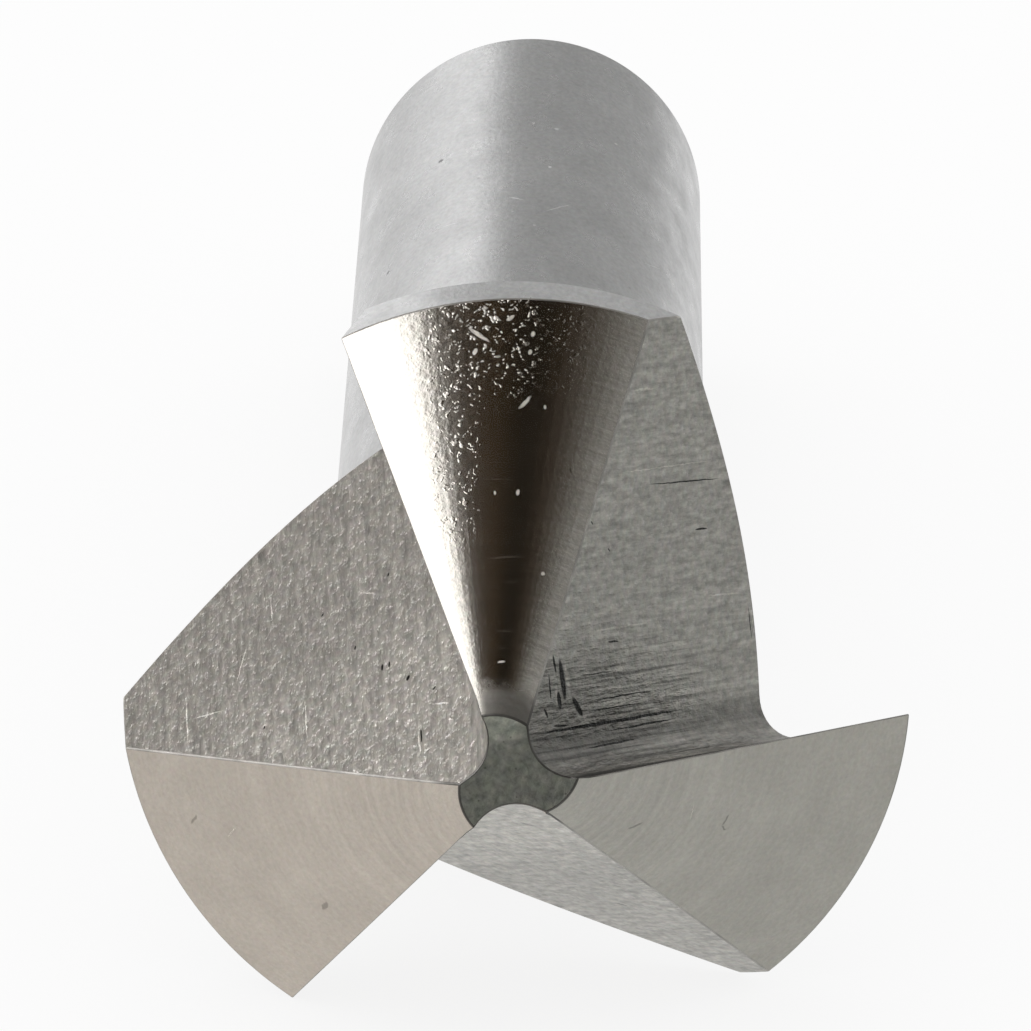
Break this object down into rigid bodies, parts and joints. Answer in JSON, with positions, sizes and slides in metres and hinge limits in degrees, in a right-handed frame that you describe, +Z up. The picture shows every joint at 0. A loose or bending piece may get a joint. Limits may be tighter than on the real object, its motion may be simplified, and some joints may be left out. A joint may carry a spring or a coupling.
{
  "type": "countersink bit",
  "caption": "Conical countersink bit with straight milled flutes between relief-ground lands, on a plain round shank.",
  "frame": {"origin": "on the surface the bit lies on, below the centre of its bounding box", "axes": "+Z up; the bit lies as it comes to rest, its point towards -Y and its shank end towards +Y, with its axis in the YZ plane and sloping down 3.7 degrees towards the shank end"},
  "size_m": [0.0204, 0.0632, 0.0187],
  "materials": {
    "tool_steel": "ground high-speed steel, satin, with brushed milling marks in the flutes"
  },
  "bodies": {
    "root": {"countersink_bit": "tool_steel"}
  },
  "joints": []
}
